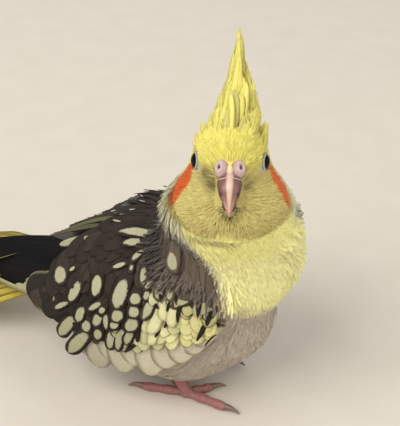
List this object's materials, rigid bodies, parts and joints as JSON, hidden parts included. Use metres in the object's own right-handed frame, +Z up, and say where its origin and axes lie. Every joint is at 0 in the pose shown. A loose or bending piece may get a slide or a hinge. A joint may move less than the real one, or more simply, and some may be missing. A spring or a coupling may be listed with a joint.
{
  "type": "cockatiel",
  "caption": "Life-size crested parrot with folded wings and a long tapered tail, crouched with its head turned to its right.",
  "frame": {"origin": "middle of the figure's box at the level of its soles", "axes": "+X the way the body faces, +Y its left, +Z up"},
  "size_m": [0.2464, 0.0666, 0.1427],
  "materials": {
    "body_plumage": "soft matt feathers, warm taupe grey with a pale lemon bib",
    "face_plumage": "soft matt feathers, olive yellow face, lemon crest, orange ear patches",
    "wing_plumage": "smooth grey-brown vanes with pale yellow pearl spots and a pale patch",
    "tail_plumage": "smooth yellow vanes barred with olive grey",
    "bill": "satin horn, pinkish with a paler ridge",
    "cere": "soft bare skin, mauve pink",
    "eye": "wet gloss black",
    "foot_skin": "scaled dry skin, pink red",
    "claw": "dark horn, slightly glossy"
  },
  "bodies": {
    "root": {"torso": "body_plumage", "neck": "body_plumage", "head": "face_plumage", "bill_upper": "bill", "bill_lower": "bill", "cere": "cere", "eye_right": "eye", "eye_left": "eye", "wing_right": "wing_plumage", "wing_left": "wing_plumage", "tail": "tail_plumage", "leg_right": "foot_skin", "leg_left": "foot_skin", "claw_1_right": "claw", "claw_2_right": "claw", "claw_3_right": "claw", "claw_4_right": "claw", "claw_1_left": "claw", "claw_2_left": "claw", "claw_3_left": "claw", "claw_4_left": "claw"}
  },
  "joints": []
}
